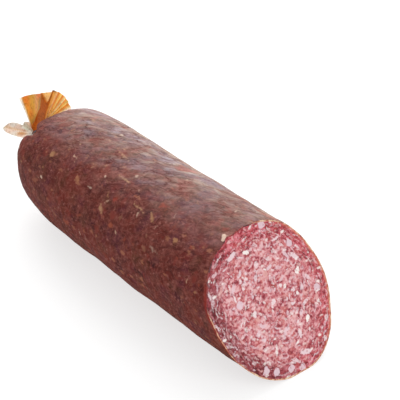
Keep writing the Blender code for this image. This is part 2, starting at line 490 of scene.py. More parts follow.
def end_stations():
    """Places along the closed end at even steps over its outline."""
    ahead = np.linspace(END_PROFILE[0][0], END_PROFILE[-1][0], 1500)
    radius = smooth_curve(END_PROFILE, ahead)
    run = np.concatenate([[0], np.cumsum(np.hypot(np.diff(ahead), np.diff(radius)))])
    steps = np.linspace(run[-1], 0, int(run[-1] / END_SPACING) + 1)[1:]
    return np.interp(steps, run, ahead), np.interp(steps, run, radius)


def grid_frame(grid):
    """Outward normals, and unit vectors along the first axis, of a grid closed along its second."""
    along = np.gradient(grid, axis=0)
    round_it = (np.roll(grid, -1, 1) - np.roll(grid, 1, 1)) / 2
    normal = np.cross(along, round_it)
    normal /= np.maximum(np.linalg.norm(normal, axis=2, keepdims=True), 1e-12)
    along /= np.maximum(np.linalg.norm(along, axis=2, keepdims=True), 1e-12)
    return normal.reshape(-1, 3), along.reshape(-1, 3)


def scatter_specks(rng, points, normal, along, area):
    """Specks of fat over the skin. Points are in mm; each has its own area."""
    grains = Grains()
    places = []
    sizes = []

    def put(k, half_length, half_width, turn, power, tone, strength):
        ahead = -along[k]
        across = np.cross(normal[k], ahead)
        first = ahead * math.cos(turn) + across * math.sin(turn)
        second = -ahead * math.sin(turn) + across * math.cos(turn)
        grains.add(points[k], first, second, half_length, half_width, power, tone, strength)

    for x, degrees, (half_length, half_width), turn, tone in LARGE_SPECKS:
        angle = math.radians(degrees)
        target = skin_point(np.array([x * MM]), np.array([angle]), np.array([RADIUS]))[0] / MM
        k = int(np.argmin(((points - target) ** 2).sum(1)))
        put(k, half_length, half_width, -math.radians(turn), 1.7, tone, 1.0)
        places.append(points[k])
        sizes.append(math.sqrt(half_length * half_width))
    chance = np.cumsum(area) / area.sum()
    kinds = ((110, 0.9, 1.5, 1.8), (520, 0.5, 0.95, 1.5), (260, 0.28, 0.4, 1.6))
    for count, small, large, spacing in kinds:
        tries = count * 4
        picks = np.searchsorted(chance, rng.uniform(0, 1, tries))
        radii = rng.uniform(small, large, tries)
        index_of = {tuple(points[k]): k for k in picks}
        chosen, places, sizes = spread(rng, count, points[picks], radii, places, sizes, spacing)
        thin = large < 0.45
        for spot, radius in chosen:
            longer = rng.uniform(2.5, 5.5) if thin else 1 + rng.gamma(1.6, 0.33)
            turn = rng.normal(-0.45, 0.55)
            tone = rng.beta(1.1, 1.2)
            strength = rng.uniform(0.25, 0.95) ** 1.3
            put(index_of[tuple(spot)], radius * longer, radius / longer ** 0.3, turn, rng.uniform(0.9, 1.9),
                tone, strength)
    return grains


def make_rind(offset):
    """The skin with its relief, a thin rim round the cut, and a shallow recess that holds the meat."""
    angle = skin_columns()
    count = len(angle)
    _, up = cut_outline(angle)
    cut_x = -up * math.sin(CUT_LEAN)
    straight_end = END_PROFILE[-1][0] - NECK_REACH
    t = np.linspace(0, 1, STRAIGHT_ROWS)[:, None]
    x = cut_x * (1 - t) + straight_end * t
    radius = np.full_like(x, RADIUS)
    ahead, end_radius = end_stations()
    x = np.vstack([x, np.repeat((ahead - NECK_REACH)[:, None], count, 1)])
    radius = np.vstack([radius, np.repeat(end_radius[:, None], count, 1)])
    angles = np.repeat(angle[None, :], len(x), 0)
    grid = skin_point(x.ravel(), angles.ravel(), radius.ravel()).reshape(*x.shape, 3)
    rows = len(x)
    normal, along = grid_frame(grid)
    flat = grid.reshape(-1, 3)
    mm = flat / MM
    du = np.linalg.norm(np.gradient(grid, axis=0), axis=2)
    dv = np.linalg.norm(np.roll(grid, -1, 1) - grid, axis=2)
    area = (du * dv).ravel()

    # unevenness and wrinkles, in mm
    local = radius.ravel() / MM
    gather = share(1 - (flat[:, 0] + NECK_REACH) / (18 * MM)) ** 1.5
    drift = 1.2 * np.column_stack([noise(mm, 7.0, 44), noise(mm, 7.0, 47), noise(mm, 7.0, 48)])
    bent = mm + drift
    drawn_out = bent - 0.68 * (bent @ STREAK)[:, None] * STREAK
    above = ease(0.0, 0.9, normal[:, 2])
    wrinkle = 1 - 2.2 * np.abs(noise(drawn_out, 3.2, 45))
    small_wrinkle = 1 - 2.2 * np.abs(noise(drawn_out, 2.0, 46))
    relief = 0.34 * noise(mm, 16.0, 41) + 0.15 * noise(mm, 6.5, 42)
    patchy = 0.55 + 0.45 * noise(mm, 13.0, 49)
    relief += (0.07 + 0.15 * above) * wrinkle * patchy + (0.03 + 0.05 * above) * small_wrinkle

    rng = np.random.default_rng(5)
    specks = scatter_specks(rng, mm, normal, along, area)
    warp = 0.75 * np.column_stack([noise(mm, 2.2, 51), noise(mm, 2.2, 52), noise(mm, 2.2, 55)])
    best, tone, strength, _, side = specks.read(mm + warp)
    relief += 0.09 * ease(-0.35, 0.35, best) * strength

    pleats = np.cos(11 * angles.ravel() + 1.6 * noise(mm, 9.0, 53))
    fine = np.cos(27 * angles.ravel() + 2.8 * noise(mm, 7.0, 54))
    relief = relief * (1 - 0.6 * gather) + gather * local * (0.045 * pleats + 0.020 * fine - 0.035)
    relief = (relief + lumps(mm, along, normal)) * share(local / 3.0)
    to_cut = (cut_x[None, :] - x).ravel() / MM
    # painted sheen with some real dusty bloom: the top lightened where it faces up and a little back, less at the back
    # and near the cut
    bloom_and_painted_sheen = share(normal @ np.array((0.0, 0.42, 0.91))) ** 4.5 * (1.68 + 0.60 * rough_noise(mm, 11.0, 57))
    bloom_and_painted_sheen *= 1 - 0.75 * ease(0.72, 0.92, normal[:, 1])
    bloom_and_painted_sheen *= 1 - 0.30 * ease(50, 12, to_cut)
    # painted sheen: a pale band along the top's far edge, where the skin turns up and away
    painted_edge_sheen = ease(0.94, 0.995, normal @ np.array((0.0, 0.70, 0.71))) * share(0.60 + 0.60 * noise(mm, 9.0, 58))
    # pleat ridges near the neck: paler gathered casing, with a painted highlight on them
    ridge = gather * share(pleats * 0.5 + 0.5)

    moved = flat + normal * (relief * MM)[:, None]
    moved[:, 2] = np.maximum(moved[:, 2], -FLAT_HEIGHT)
    skin = moved.reshape(rows, count, 3)
    skin[0, :, 0] -= (skin[0] @ CUT_NORMAL) / CUT_NORMAL[0]

    # the casing's edge round the cut, then a wall and a floor behind the meat
    inward = skin[0].mean(0) - skin[0]
    inward /= np.linalg.norm(inward, axis=1, keepdims=True)
    wavy = noise(skin[0] / MM, 2.6, 61)[:, None]
    width = CASING * (1.05 + 0.60 * noise(skin[0] / MM, 3.6, 62)[:, None])
    outer_lip = skin[0] + CUT_NORMAL * EDGE_RISE * (0.9 + 0.5 * wavy) + inward * 0.12 * MM
    inner_lip = skin[0] + CUT_NORMAL * EDGE_RISE * (0.7 + 0.5 * wavy) + inward * width
    tuck = skin[0] - CUT_NORMAL * 0.10 * MM + inward * (width + 0.15 * MM)
    behind = np.array((-1.0, 0.0, 0.0))
    wall = skin[0] + behind * 0.30 * MM + inward * (CASING + 0.15 * MM)
    floor = skin[0] + behind * RECESS + inward * (CASING + 0.25 * MM)
    rings = [floor, wall, tuck, inner_lip, outer_lip]
    everything = np.vstack([np.stack(rings), skin])
    index = np.arange(len(everything) * count).reshape(len(everything), count)
    nxt = np.roll(index, -1, 1)
    faces = np.stack([index[:-1], index[1:], nxt[1:], nxt[:-1]], -1).reshape(-1, 4)
    points = everything.reshape(-1, 3)
    hub_cut = len(points)
    hub_end = hub_cut + 1
    points = np.vstack([points, floor.mean(0), skin[-1].mean(0)])
    cap_cut = np.stack([index[0], nxt[0], np.full(count, hub_cut)], -1)
    cap_end = np.stack([index[-1], np.full(count, hub_end), nxt[-1]], -1)
    thing = new_mesh("sausage_rind", points + offset,
                     [*map(tuple, faces), *map(tuple, cap_cut), *map(tuple, cap_end)])

    def whole(values, fill):
        return np.concatenate([np.full(len(rings) * count, fill), values, [fill, values[-1]]])

    add_number(thing, "speck", whole(best, -1.0))
    add_number(thing, "tone", whole(tone, 0.0))
    add_number(thing, "strength", whole(strength, 0.0))
    glow = ease(2.6, 0.2, to_cut) * ease(0.75, 0.35, normal[:, 2])
    add_number(thing, "glow", whole(glow, 0.0))
    add_number(thing, "patchy", whole(patchy, 0.5))
    add_number(thing, "bloom_and_painted_sheen", whole(bloom_and_painted_sheen, 0.0))
    add_number(thing, "ridge", whole(ridge, 0.0))
    add_number(thing, "painted_edge_sheen", whole(painted_edge_sheen, 0.0))
    # place across each speck, which sets the painted shadow along its one edge
    add_number(thing, "side", whole(side, 0.0))
    # painted shade: darker toward the underside
    add_number(thing, "low", whole(ease(-1, -19, mm[:, 2]), 1.0))
    return thing, len(rings) * count, skin[0]


# ---- loose casing and clip behind the neck -----------------------------------------------------
NECK = np.array((-NECK_REACH, *centre_line(-NECK_REACH, NECK_RADIUS)))   # at the back of the clip
SHEET = 0.16 * MM
SHEET_LEAN = math.radians(5)
SHEET_ROOT = 2.4 * MM
SHEET_BEHIND = 0.9 * MM
FAN_EDGE = ((-3, 25), (18, 26.5), (50, 25.5), (57, 24), (73, 22.5), (98, 24), (106, 24))
FLAP_EDGE = (
    (98, 5.5), (112, 8), (127, 10), (134, 9.5), (137, 12.5), (145, 17), (155, 19), (162, 17), (168, 14),
    (184, 8.5), (212, 4.5),
)
# The fan's narrow pleats spread from a second point, which the end of the sausage hides.
PLEAT_POINT = (7.0, 4.0)
PLEAT_CRESTS = ((-20, -1.5), (7, 0), (20, 1), (29.5, 2), (42, 3), (53.5, 4), (62, 4.5), (100, 5.1))
CORNER = (10.6, 13.7)            # lower point of the pale triangle, sideways and up (mm)
DYE_BALANCE = (0.98, 1.27, 1.75)  # light crosses the film more than once and deepens it
FLAP_BALANCE = (0.88, 0.95, 1.02)


def sheet_mesh(name, middle, thickness):
    """A closed thin sheet round a grid of points, and the grid's own normals."""
    first, second = middle.shape[:2]
    normal = np.cross(np.gradient(middle, axis=0), np.gradient(middle, axis=1))
    normal /= np.maximum(np.linalg.norm(normal, axis=2, keepdims=True), 1e-12)
    half = normal * thickness / 2
    points = np.vstack([(middle + half).reshape(-1, 3), (middle - half).reshape(-1, 3)])
    count = first * second
    index = np.arange(count).reshape(first, second)
    front = np.stack([index[:-1, :-1], index[1:, :-1], index[1:, 1:], index[:-1, 1:]], -1).reshape(-1, 4)
    back = front[:, ::-1] + count
    ring = np.concatenate([index[0, :-1], index[:-1, -1], index[-1, :0:-1], index[:0:-1, 0]])
    after = np.roll(ring, -1)
    border = np.stack([ring, after, after + count, ring + count], -1)
    faces = np.vstack([front, back, border])
    return new_mesh(name, points, [*map(tuple, faces)])


def add_colour(thing, name, values):
    """A linear colour at each vertex, for the material to read."""
    made = thing.data.attributes.new(name, "FLOAT_COLOR", "POINT")
    rgba = np.column_stack([values, np.ones(len(values))])
    made.data.foreach_set("color", rgba.astype(np.float32).ravel())


def blend(colour, mask, other):
    return colour + (np.array(other) - colour) * np.clip(mask, 0, 1)[:, None]


def near(value, middle, width):
    """1 at the middle, falling smoothly to 0 at the width on either side."""
    return 1 - ease(0.0, 1.0, np.abs(value - middle) / width)


def sheet_grid(edge, columns, rows, root):
    """Angle (degrees), distance out (mm) and share of the way out, over a loose sheet."""
    u, v = np.meshgrid(np.linspace(0, 1, columns), np.linspace(0, 1, rows), indexing="ij")
    theta = edge[0][0] + (edge[-1][0] - edge[0][0]) * u.ravel()
    reach = smooth_curve(edge, theta)
    v = v.ravel()
    return theta, root + (reach - root) * v, v


def sheet_back(out):
    """How far behind the neck's reference the sheet lies, in mm: gathered at its root."""
    lean = SHEET_BEHIND / MM + (out - SHEET_ROOT / MM) * math.tan(SHEET_LEAN)
    return lean + 0.9 * (1 - ease(0.8, 3.2, out))


def fan_parts(theta, out):
    """Where the broad fold and its pale corner lie, and the narrow pleats' own angle and phase."""
    angle = np.radians(theta)
    y = out * np.cos(angle)
    z = out * np.sin(angle)
    turn = np.degrees(np.arctan2(z - PLEAT_POINT[1], y - PLEAT_POINT[0]))
    turn = np.where((z < PLEAT_POINT[1]) & (y < PLEAT_POINT[0] + 1), 80.0, turn)
    phase = np.interp(turn, *zip(*PLEAT_CRESTS))
    left = np.interp(out, (0, 4, 7, 10, 14, 20, 26), (125, 110, 86, 75, 68, 70, 71))
    fold = ease(left + 4, left - 4, theta) * ease(55.5, 60.5, turn)
    from_left = (y - CORNER[0]) * 0.938 + (z - CORNER[1]) * 0.346
    from_right = -(y - CORNER[0]) * 0.807 + (z - CORNER[1]) * 0.590
    corner = ease(-0.3, 0.9, from_left) * ease(-0.3, 0.9, from_right)
    return y, z, turn, phase, fold, corner


def fan_colour(theta, out, v):
    """Orange casing, pale at its free edge, browner inside the fold and striped along the pleats."""
    _, _, turn, phase, fold, corner = fan_parts(theta, out)
    colour = np.tile(rgb(236, 176, 84), (len(theta), 1))
    colour = blend(colour, near(theta, 98, 6), rgb(244, 168, 76))
    colour = blend(colour, near(theta, 80, 7) * ease(9, 15, out) * 0.9, rgb(246, 180, 116))
    colour = blend(colour, near(theta, 73, 4) * ease(8, 14, out), rgb(222, 172, 112))
    colour = blend(colour, ease(0.66, 0.90, v) * near(theta, 98, 8) * 0.7, rgb(238, 144, 60))
    colour = blend(colour, ease(0.80, 0.95, v) * near(theta, 75, 8) * 0.8, rgb(246, 146, 88))
    colour = blend(colour, near(theta, 93, 8) * near(out, 12.0, 7.0) * 0.6, rgb(232, 146, 74))
    colour = blend(colour, ease(12.0, 7.0, out) * 0.7, rgb(206, 156, 82))
    colour = blend(colour, ease(101.8, 104.4, theta), rgb(252, 220, 184))
    dark = blend(np.tile(rgb(206, 106, 18), (len(theta), 1)), ease(12, 22, out), rgb(208, 124, 38))
    dark = blend(dark, ease(74, 62, theta) * ease(20, 12, out), rgb(212, 128, 66))
    colour = blend(colour, fold * 0.95, (0, 0, 0)) + dark * (fold * 0.95)[:, None]
    colour = blend(colour, corner * fold, rgb(252, 196, 124))
    pleated = ease(60.5, 57.5, turn)
    stripe = 0.5 + 0.5 * np.cos(2 * math.pi * phase)
    light = blend(np.tile(rgb(255, 208, 122), (len(theta), 1)), near(turn, 53.5, 5), rgb(252, 192, 128))
    light = blend(light, near(turn, 30, 9), rgb(255, 220, 156))
    deep = blend(np.tile(rgb(240, 152, 54), (len(theta), 1)), near(turn, 20, 7), rgb(248, 178, 62))
    striped = deep + (light - deep) * (stripe ** 0.9)[:, None]
    striped = blend(striped, near(turn, 25, 2.5) * 0.8, rgb(250, 146, 76))
    striped = blend(striped, near(turn, 5, 6), rgb(255, 216, 180))
    colour = colour * (1 - pleated)[:, None] + striped * pleated[:, None]
    colour = blend(colour, near(theta, 50.0, 2.4) * ease(0.95, 0.99, v), rgb(140, 84, 66))
    colour = blend(colour, ease(8, 4, out) * 0.8, rgb(224, 136, 56))
    return share(colour * np.array(DYE_BALANCE)) * 0.97


def make_fan(offset):
    """The long side of the casing behind the clip, spread like a fan."""
    theta, out, v = sheet_grid(FAN_EDGE, 230, 80, 0.8)
    _, _, turn, phase, fold, corner = fan_parts(theta, out)
    plane = np.column_stack([out * np.cos(np.radians(theta)), out * np.sin(np.radians(theta)), 0 * out])
    deep = ease(2.0, 14.0, out)
    back = sheet_back(out)
    back += 1.1 * deep * ease(60.5, 57.5, turn) * (0.5 - 0.5 * np.cos(2 * math.pi * phase))
    back += 1.5 * deep * fold * (1 - 0.8 * corner)
    back -= 0.9 * deep * np.sin(math.pi * ease(74, 107, theta)) * v
    back += 0.22 * noise(plane, 5.0, 71) * v + 0.08 * noise(plane, 1.8, 72) * v
    reach = out + 0.15 * noise(plane, 2.5, 73) * ease(0.9, 1.0, v)
    wider = (0.3 + 0.4 * ease(16, 5, out)) * ease(88, 106, theta) * ease(0.8, 3.0, out)
    sideways = reach * np.cos(np.radians(theta)) - wider
    upward = reach * np.sin(np.radians(theta))
    place = np.column_stack([-back, sideways, upward])
    thing = sheet_mesh("casing_tail_fan", (NECK + place * MM + offset).reshape(230, 80, 3), SHEET)
    dye = fan_colour(theta, out, v)
    add_colour(thing, "dye", np.vstack([dye, dye]))
    return thing


def flap_colour(theta, out, v):
    """Bleached casing: cream, with green-grey patches, tan creases and a browner rim."""
    plane = np.column_stack([out * np.cos(np.radians(theta)), out * np.sin(np.radians(theta)), 0 * out])
    colour = np.tile(rgb(255, 242, 228), (len(theta), 1))
    colour = blend(colour, ease(0.0, 0.6, noise(plane, 4.5, 81)) * 0.7, rgb(238, 232, 212))
    colour = blend(colour, ease(0.1, 0.7, noise(plane, 3.0, 82)) * 0.8, rgb(255, 228, 208))
    colour = blend(colour, near(theta, 166, 15) * near(out, 7.5, 4.5) * 0.9, rgb(240, 190, 138))
    colour = blend(colour, near(theta, 150, 8) * near(out, 7.5, 3.5) * 0.8, rgb(252, 204, 176))
    colour = blend(colour, near(theta, 126, 12) * 0.6, rgb(240, 222, 196))
    colour = blend(colour, near(theta, 152, 4) * ease(4, 9, out) * 0.5, rgb(238, 208, 164))
    colour = blend(colour, near(theta, 133, 5) * 0.5, rgb(232, 218, 192))
    colour = blend(colour, ease(0.93, 0.99, v) * 0.5, rgb(228, 208, 184))
    return colour * np.array(FLAP_BALANCE)


def make_flap(offset):
    """The short side of the casing behind the clip, bent to the other side."""
    theta, out, v = sheet_grid(FLAP_EDGE, 150, 60, 0.8)
    u = (theta - FLAP_EDGE[0][0]) / (FLAP_EDGE[-1][0] - FLAP_EDGE[0][0])
    plane = np.column_stack([out * np.cos(np.radians(theta)), out * np.sin(np.radians(theta)), 0 * out])
    back = sheet_back(out) + 2.2 * v * v * (0.20 + 0.80 * ease(128, 142, theta)) + 0.35 * ease(0.8, 2.2, out)
    middle = v * (1.4 - v) * 2
    back += 0.7 * middle * np.sin(2 * math.pi * (1.9 * u + 0.1)) + 0.3 * middle * np.sin(2 * math.pi * (5.2 * u + 0.3))
    back += 0.5 * noise(plane, 4.0, 83) * middle + 0.15 * noise(plane, 1.6, 84) * v
    ragged = 0.12 * noise(plane, 1.8, 85) * ease(0.85, 1.0, v)
    place = np.column_stack([-back, (out + ragged) * np.cos(np.radians(theta)), (out + ragged) * np.sin(np.radians(theta))])
    thing = sheet_mesh("casing_flap_sheet", (NECK + place * MM + offset).reshape(150, 60, 3), SHEET)
    dye = flap_colour(theta, out, v)
    add_colour(thing, "dye", np.vstack([dye, dye]))
    return thing


CLIP_WIRE = 0.55 * MM
CLIP_LOOP = 2.35 * MM
CLIP_FORWARD = 0.9 * MM
CLIP_OVERLAP = math.radians(38)


def make_clip(offset):
    """Soft metal wire closed round the neck, with its flattened ends side by side underneath."""
    steps = 150
    ring = 20
    start = math.radians(-120)
    turn = np.linspace(-CLIP_OVERLAP, 2 * math.pi + CLIP_OVERLAP, steps)
    share_along = np.linspace(-1, 1, steps)
    from_end = np.minimum(turn + CLIP_OVERLAP, 2 * math.pi + CLIP_OVERLAP - turn) / CLIP_OVERLAP
    loop = CLIP_LOOP * (1 + 0.05 * np.cos(2 * turn)) + 0.25 * MM * (1 - share(from_end / 1.5)) ** 2
    beside = 0.62 * MM * np.sign(share_along) * ease(2.6, 1.0, from_end)
    around = start + turn
    centre = np.column_stack([CLIP_FORWARD + beside, loop * np.cos(around), loop * np.sin(around)])
    outward = np.column_stack([0 * around, np.cos(around), np.sin(around)])
    ahead = np.tile((1.0, 0.0, 0.0), (steps, 1))
    taper = np.sqrt(share(from_end / 0.22)) * 0.55 + 0.45
    section = np.linspace(0, 2 * math.pi, ring, endpoint=False)
    flat = 1 - 0.18 * ease(1.6, 0.6, from_end)
    points = (
        centre[:, None, :]
        + outward[:, None, :] * (CLIP_WIRE * taper * flat)[:, None, None] * np.cos(section)[None, :, None]
        + ahead[:, None, :] * (CLIP_WIRE * taper)[:, None, None] * np.sin(section)[None, :, None]
    )
    count = steps * ring
    index = np.arange(count).reshape(steps, ring)
    nxt = np.roll(index, -1, 1)
    sides = np.stack([index[:-1], index[1:], nxt[1:], nxt[:-1]], -1).reshape(-1, 4)
    caps = [tuple(index[0]), tuple(index[-1, ::-1])]
    everything = NECK + points.reshape(-1, 3) + offset
    return new_mesh("clip_wire", everything, [*map(tuple, sides), *caps])


# ---- materials ---------------------------------------------------------------------------------
class Shade:
    """A small kit for building one procedural material."""

    def __init__(self, name):
        self.material = bpy.data.materials.new(name)
        self.material.use_nodes = True
        self.tree = self.material.node_tree
        self.shader = self.tree.nodes["Principled BSDF"]
        self.coordinates = self.tree.nodes.new("ShaderNodeTexCoord").outputs["Object"]

    def put(self, socket, value):
        if isinstance(value, bpy.types.NodeSocket):
            self.tree.links.new(value, socket)
        else:
            socket.default_value = value

    def number(self, name):
        node = self.tree.nodes.new("ShaderNodeAttribute")
        node.attribute_name = name
        return node.outputs["Fac"]

    def colour(self, name):
        node = self.tree.nodes.new("ShaderNodeAttribute")
        node.attribute_name = name
        return node.outputs["Color"]

    def vector(self, operation, first, second):
        node = self.tree.nodes.new("ShaderNodeVectorMath")
        node.operation = operation
        self.put(node.inputs[0], first)
        self.put(node.inputs[1], second)
        return node.outputs[0]

    def place(self, shift=(0, 0, 0), stretch=(1, 1, 1), warp_size=0.0, warp=0.0, turn=0.0):
        """Object coordinates shifted, bent by noise, turned about the upright axis and stretched."""
        at = self.vector("ADD", self.coordinates, shift)
        if warp:
            node = self.tree.nodes.new("ShaderNodeTexNoise")
            self.put(node.inputs["Vector"], at)
            node.inputs["Scale"].default_value = 1 / warp_size
            node.inputs["Detail"].default_value = 1.0
            bend = self.vector("SUBTRACT", node.outputs["Color"], (0.5, 0.5, 0.5))
            at = self.vector("ADD", at, self.vector("MULTIPLY", bend, (warp, warp, warp)))
        if turn:
            node = self.tree.nodes.new("ShaderNodeVectorRotate")
            node.rotation_type = "Z_AXIS"
            self.put(node.inputs["Vector"], at)
            node.inputs["Angle"].default_value = turn
            at = node.outputs[0]
        return self.vector("MULTIPLY", at, stretch)

    def noise(self, size, detail=2.0, roughness=0.5, distortion=0.0, at=None):
        node = self.tree.nodes.new("ShaderNodeTexNoise")
        self.put(node.inputs["Vector"], at or self.coordinates)
        node.inputs["Scale"].default_value = 1 / size
        node.inputs["Detail"].default_value = detail
        node.inputs["Roughness"].default_value = roughness
        node.inputs["Distortion"].default_value = distortion
        return node.outputs["Fac"]

    def cells(self, size, at=None, feature="F1"):
        """Distance in each cell, and the cell's own three random numbers."""
        node = self.tree.nodes.new("ShaderNodeTexVoronoi")
        node.feature = feature
        self.put(node.inputs["Vector"], at or self.coordinates)
        node.inputs["Scale"].default_value = 1 / size
        split = self.tree.nodes.new("ShaderNodeSeparateColor")
        self.put(split.inputs[0], node.outputs["Color"])
        return node.outputs["Distance"], split.outputs[0], split.outputs[1], split.outputs[2]

    def math(self, operation, *values):
        node = self.tree.nodes.new("ShaderNodeMath")
        node.operation = operation
        for socket, value in zip(node.inputs, values):
            self.put(socket, value)
        return node.outputs[0]

    def ease(self, low, high, value):
        node = self.tree.nodes.new("ShaderNodeMapRange")
        node.interpolation_type = "SMOOTHSTEP"
        self.put(node.inputs["Value"], value)
        node.inputs["From Min"].default_value = low
        node.inputs["From Max"].default_value = high
        return node.outputs[0]

    def ramp(self, value, stops):
        node = self.tree.nodes.new("ShaderNodeValToRGB")
        self.put(node.inputs["Fac"], value)
        elements = node.color_ramp.elements
        while len(elements) < len(stops):
            elements.new(0.5)
        for element, (place, colour) in zip(elements, stops):
            element.position = place
            element.color = (*colour, 1.0)
        return node.outputs["Color"]

    def mix(self, factor, first, second, blend="MIX"):
        node = self.tree.nodes.new("ShaderNodeMix")
        node.data_type = "RGBA"
        node.blend_type = blend
        self.put(node.inputs["Factor"], factor)
        sockets = [socket for socket in node.inputs if socket.type == "RGBA"]
        for socket, value in zip(sockets, (first, second)):
            self.put(socket, value if isinstance(value, bpy.types.NodeSocket) else (*value, 1.0))
        return [socket for socket in node.outputs if socket.type == "RGBA"][0]

    def bump(self, height, distance, strength=1.0):
        node = self.tree.nodes.new("ShaderNodeBump")
        node.inputs["Strength"].default_value = strength
        node.inputs["Distance"].default_value = distance
        self.put(node.inputs["Height"], height)
        self.put(self.shader.inputs["Normal"], node.outputs[0])

    def spots(self, colour, size, limit, radius, tint, amount, at):
        """Irregular spots of one tint, in the share of cells whose random number is over the limit."""
        distance, chance, _, _ = self.cells(size, at)
        inside = self.ease(radius, radius * 0.45, distance)
        present = self.ease(limit, limit + 0.08, chance)
        factor = self.math("MULTIPLY", self.math("MULTIPLY", inside, present), amount)
        return self.mix(factor, colour, tint)


def rgb(red, green, blue):
    """Linear colour of an 8-bit screen colour."""
    def linear(value):
        value /= 255
        return value / 12.92 if value <= 0.04045 else ((value + 0.055) / 1.055) ** 2.4
    return linear(red), linear(green), linear(blue)


def meat_material():
    s = Shade("cut_meat")
    outer = s.ease(11.0, 3.5, s.number("from_edge"))
    mottle = s.noise(1.5 * MM, 3.0, 0.55, at=s.place(warp_size=2.0 * MM, warp=1.2 * MM))
    level = s.math("MULTIPLY_ADD", s.number("streak"), s.math("MULTIPLY_ADD", outer, 0.08, 0.16), mottle)
    level = s.math("MULTIPLY_ADD", s.number("smear"), 0.09, level)
    level = s.math("ADD", level, s.math("MULTIPLY_ADD", outer, -0.035, 0.036))
    colour = s.ramp(level, (
        (0.34, rgb(128, 32, 44)), (0.44, rgb(160, 60, 72)), (0.53, rgb(190, 98, 106)), (0.62, rgb(214, 138, 142)),
        (0.74, rgb(234, 182, 184)),
    ))
    warm = s.ease(0.50, 0.66, s.noise(3.4 * MM, 2.0, 0.5, at=s.place((0.6, 0.2, 0))))
    colour = s.mix(s.math("MULTIPLY", warm, 0.45), colour, rgb(202, 102, 92))
    ring_tint = s.mix(s.number("left_side"), rgb(238, 177, 188), rgb(181, 132, 140))
    colour = s.mix(outer, colour, ring_tint, "MULTIPLY")
    rim = s.math("MULTIPLY", s.ease(1.9, 0.4, s.number("from_edge")), s.number("right_side"))
    colour = s.mix(s.math("MULTIPLY", rim, 0.8), colour, rgb(216, 110, 92))
    fat = s.ramp(s.number("tone"), (
        (0.0, rgb(228, 168, 162)), (0.25, rgb(234, 188, 190)), (0.45, rgb(232, 206, 214)),
        (0.7, rgb(244, 226, 228)), (1.0, rgb(255, 252, 246)),
    ))
    fray = s.math("SUBTRACT", s.noise(0.7 * MM, 2.0, 0.5), 0.5)
    cover = s.ease(0.10, 0.95, s.math("MULTIPLY_ADD", fray, 1.1, s.number("fat")))
    colour = s.mix(s.math("MULTIPLY", cover, s.math("MULTIPLY_ADD", outer, 0.02, 0.85)), colour, fat)
    # white flecks of fat, which also stand in as painted glints
    colour = s.spots(colour, 2.6 * MM, 0.62, 0.34, rgb(255, 246, 240), s.math("MULTIPLY_ADD", outer, 0.35, 0.45),
                     s.place(stretch=(1, 0.6, 1), warp_size=1.4 * MM, warp=1.0 * MM))
    colour = s.spots(colour, 2.6 * MM, 0.68, 0.26, rgb(118, 34, 42), s.math("MULTIPLY_ADD", outer, 0.30, 0.30),
                     s.place((0.1, 0.2, 0.3), warp_size=1.0 * MM, warp=1.6 * MM))
    colour = s.spots(colour, 1.6 * MM, 0.55, 0.42, rgb(176, 58, 66), 0.40,
                     s.place((0.3, 0.1, 0.2), warp_size=0.7 * MM, warp=1.0 * MM))
    colour = s.mix(s.math("MULTIPLY", s.number("pit"), 0.4), colour, rgb(112, 38, 44))
    s.put(s.shader.inputs["Base Color"], colour)
    s.put(s.shader.inputs["Roughness"], s.math("MULTIPLY_ADD", s.noise(0.9 * MM, 2.0), 0.3, 0.30))
    s.shader.inputs["Specular IOR Level"].default_value = 0.3
    s.bump(s.noise(0.7 * MM, 2.0, 0.5), 0.11 * MM, 0.7)
    return s.material


